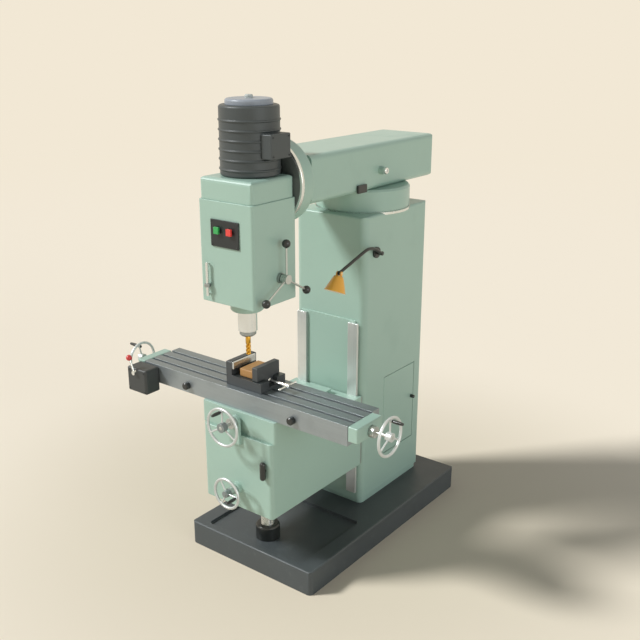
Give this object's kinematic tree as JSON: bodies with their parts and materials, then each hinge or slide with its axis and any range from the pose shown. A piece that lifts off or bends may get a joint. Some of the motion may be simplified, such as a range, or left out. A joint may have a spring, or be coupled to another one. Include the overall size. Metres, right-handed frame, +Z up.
{
  "type": "knee mill",
  "caption": "Vertical knee mill with turret, sliding ram, tilting head and quill, knee, saddle and T-slotted table on screws, vise and work lamp.",
  "frame": {"origin": "centre of the base's bottom face", "axes": "+X along the table to the operator's right, -Y towards the operator, +Z up"},
  "size_m": [1.559, 1.469, 2.138],
  "materials": {
    "green_paint": "satin enamel",
    "slate_paint": "satin enamel",
    "motor_paint": "satin enamel",
    "cap_paint": "satin enamel",
    "box_paint": "satin enamel",
    "lever_steel": "turned",
    "ground_steel": "ground",
    "wheel_chrome": "polished",
    "table_iron": "ground",
    "vise_iron": "machined",
    "bronze": "machined",
    "gold_coat": "coated",
    "black_plastic": "gloss",
    "panel_plastic": "matte",
    "green_plastic": "gloss",
    "red_plastic": "gloss",
    "shade_paint": "enamel",
    "frosted_glass": "frosted",
    "block_wood": "sawn"
  },
  "bodies": {
    "frame": {"base": "slate_paint", "knee_screw_nut": "black_plastic", "column": "green_paint", "column_ways": "ground_steel", "turret_scale": "ground_steel", "lamp_base": "panel_plastic"},
    "door": {"column_door": "green_paint", "door_knob": "black_plastic"},
    "turret": {"turret": "green_paint"},
    "ram": {"ram": "green_paint", "ram_stop_block": "black_plastic", "tilt_flange": "green_paint"},
    "ram_lock": {"ram_lock_bolt": "wheel_chrome"},
    "head": {"tilt_scale": "ground_steel", "head_body": "green_paint", "head_cap": "green_paint", "motor_body": "motor_paint", "motor_cap": "cap_paint", "motor_box": "motor_paint", "quill_nose": "green_paint", "switch_panel": "panel_plastic", "depth_stop_rod": "lever_steel"},
    "rotor": {"motor_rotor": "lever_steel"},
    "drive_gear": {"spindle_gear": "lever_steel"},
    "quill": {"quill": "ground_steel", "quill_bearings": "ground_steel"},
    "spindle": {"spindle": "lever_steel", "end_mill": "gold_coat"},
    "quill_feed": {"feed_pinion": "lever_steel", "feed_handle": "wheel_chrome"},
    "start_button": {"start_button": "green_plastic"},
    "stop_button": {"stop_button": "red_plastic"},
    "depth_nut": {"depth_stop_nut": "lever_steel"},
    "lamp_arm": {"lamp_arm": "panel_plastic"},
    "lamp_head": {"lamp_shade": "shade_paint", "lamp_bulb": "frosted_glass"},
    "knee": {"knee": "green_paint", "knee_keepers": "ground_steel"},
    "knee_screw": {"knee_screw": "ground_steel"},
    "knee_crank": {"knee_crank": "wheel_chrome"},
    "knee_crank_handle": {"knee_crank_handle": "black_plastic"},
    "knee_lock": {"knee_lock_handle": "black_plastic"},
    "saddle": {"saddle": "green_paint", "cross_nut": "bronze"},
    "cross_feed": {"cross_screw": "lever_steel", "cross_wheel": "wheel_chrome"},
    "cross_handle": {"cross_handle": "black_plastic"},
    "table": {"table": "table_iron", "table_brackets": "green_paint", "feed_box": "box_paint", "table_stops": "black_plastic", "vise_body": "vise_iron", "workpiece": "block_wood"},
    "table_feed": {"table_screw": "lever_steel", "table_wheels": "wheel_chrome"},
    "right_handle": {"table_handle_right": "black_plastic"},
    "left_handle": {"table_handle_left": "black_plastic"},
    "feed_lever": {"feed_lever": "wheel_chrome"},
    "vise_jaw": {"vise_moving_jaw": "vise_iron"},
    "vise_screw": {"vise_screw": "wheel_chrome"}
  },
  "joints": [
    {"name": "door_hinge", "type": "hinge", "parent": "frame", "child": "door", "pos_m": [0.1985, 0.1745, 0.537], "axis": [0, 0, 1], "range_deg": [-100, 0]},
    {"name": "turret_swing", "type": "hinge", "parent": "frame", "child": "turret", "pos_m": [0, 0.251, 1.6], "axis": [0, 0, 1], "range_deg": [-90, 90]},
    {"name": "ram_slide", "type": "slide", "parent": "turret", "child": "ram", "axis": [0, 1, 0], "range_m": [-0.22, 0.06]},
    {"name": "ram_lock_turn", "type": "hinge", "parent": "ram", "child": "ram_lock", "pos_m": [0.18, 0.165, 1.7631], "axis": [1, 0, 0], "range_deg": [0, 90]},
    {"name": "head_tilt", "type": "hinge", "parent": "ram", "child": "head", "pos_m": [0, -0.43, 1.7751], "axis": [0, 1, 0], "range_deg": [-45, 45]},
    {"name": "rotor_spin", "type": "hinge", "parent": "head", "child": "rotor", "pos_m": [0, -0.549, 1.9], "axis": [0, 0, 1], "continuous": true},
    {"name": "gear_spin", "type": "hinge", "parent": "head", "child": "drive_gear", "pos_m": [0, -0.591, 1.64], "axis": [0, 0, 1], "continuous": true},
    {"name": "quill_slide", "type": "slide", "parent": "head", "child": "quill", "axis": [0, 0, 1], "range_m": [-0.06, 0.05]},
    {"name": "spindle_spin", "type": "hinge", "parent": "quill", "child": "spindle", "pos_m": [0, -0.591, 1.3], "axis": [0, 0, 1], "continuous": true},
    {"name": "quill_feed_turn", "type": "hinge", "parent": "head", "child": "quill_feed", "pos_m": [0.15, -0.548, 1.408], "axis": [1, 0, 0], "range_deg": [-243, 291]},
    {"name": "start_press", "type": "slide", "parent": "head", "child": "start_button", "axis": [0, 1, 0], "range_m": [0, 0.004], "stiffness_N_per_m": 900},
    {"name": "stop_press", "type": "slide", "parent": "head", "child": "stop_button", "axis": [0, 1, 0], "range_m": [0, 0.004], "stiffness_N_per_m": 900},
    {"name": "depth_nut_slide", "type": "slide", "parent": "head", "child": "depth_nut", "axis": [0, 0, 1], "range_m": [-0.024, 0.07]},
    {"name": "lamp_swing", "type": "hinge", "parent": "frame", "child": "lamp_arm", "pos_m": [0.235, 0.072, 1.401], "axis": [1, 0, 0], "range_deg": [-20, 20]},
    {"name": "shade_tilt", "type": "hinge", "parent": "lamp_arm", "child": "lamp_head", "pos_m": [0.222, -0.235, 1.372], "axis": [1, 0, 0], "range_deg": [-30, 40]},
    {"name": "knee_slide", "type": "slide", "parent": "frame", "child": "knee", "axis": [0, 0, 1], "range_m": [-0.09, 0.05]},
    {"name": "knee_screw_turn", "type": "hinge", "parent": "knee", "child": "knee_screw", "pos_m": [0, -0.489, 0.4], "axis": [0, 0, 1], "range_deg": [-6490, 3610]},
    {"name": "knee_crank_turn", "type": "hinge", "parent": "knee", "child": "knee_crank", "pos_m": [0, -0.7, 0.447], "axis": [0, 1, 0], "range_deg": [-12980, 7220]},
    {"name": "crank_handle_spin", "type": "hinge", "parent": "knee_crank", "child": "knee_crank_handle", "pos_m": [0.0595, -0.79, 0.447], "axis": [0, 1, 0], "continuous": true},
    {"name": "knee_lock_turn", "type": "hinge", "parent": "knee", "child": "knee_lock", "pos_m": [0.163, -0.69, 0.584], "axis": [0, 1, 0], "range_deg": [-35, 35]},
    {"name": "saddle_slide", "type": "slide", "parent": "knee", "child": "saddle", "axis": [0, 1, 0], "range_m": [-0.01, 0.25]},
    {"name": "cross_turn", "type": "hinge", "parent": "knee", "child": "cross_feed", "pos_m": [0, -0.7, 0.77], "axis": [0, 1, 0], "range_deg": [-725, 18030]},
    {"name": "cross_handle_spin", "type": "hinge", "parent": "cross_feed", "child": "cross_handle", "pos_m": [0, -0.79, 0.8445], "axis": [0, 1, 0], "continuous": true},
    {"name": "table_slide", "type": "slide", "parent": "saddle", "child": "table", "axis": [1, 0, 0], "range_m": [-0.28, 0.28]},
    {"name": "table_screw_turn", "type": "hinge", "parent": "table", "child": "table_feed", "pos_m": [0, -0.563, 0.859], "axis": [1, 0, 0], "range_deg": [-20200, 20200]},
    {"name": "right_handle_spin", "type": "hinge", "parent": "table_feed", "child": "right_handle", "pos_m": [0.75, -0.563, 0.9295], "axis": [1, 0, 0], "continuous": true},
    {"name": "left_handle_spin", "type": "hinge", "parent": "table_feed", "child": "left_handle", "pos_m": [-0.75, -0.5786, 0.92158], "axis": [1, 0, 0], "continuous": true},
    {"name": "feed_lever_turn", "type": "hinge", "parent": "table", "child": "feed_lever", "pos_m": [-0.566, -0.75, 0.877], "axis": [0, 1, 0], "range_deg": [-30, 30]},
    {"name": "vise_jaw_slide", "type": "slide", "parent": "table", "child": "vise_jaw", "axis": [1, 0, 0], "range_m": [-0.0045, 0.02]},
    {"name": "vise_screw_turn", "type": "hinge", "parent": "vise_jaw", "child": "vise_screw", "pos_m": [0.1, -0.5445, 0.933], "axis": [1, 0, 0], "range_deg": [-28, 28]}
  ],
  "couplings": [
    {"joint": "gear_spin", "follows": "rotor_spin", "ratio": -0.5},
    {"joint": "spindle_spin", "follows": "rotor_spin", "ratio": -0.5},
    {"joint": "quill_feed_turn", "follows": "quill_slide", "rad_per_m": -83.333},
    {"joint": "knee_screw_turn", "follows": "knee_slide", "rad_per_m": 1256.6},
    {"joint": "knee_crank_turn", "follows": "knee_slide", "rad_per_m": 2513.3},
    {"joint": "cross_turn", "follows": "saddle_slide", "rad_per_m": 1256.6},
    {"joint": "table_screw_turn", "follows": "table_slide", "rad_per_m": 1256.6}
  ]
}
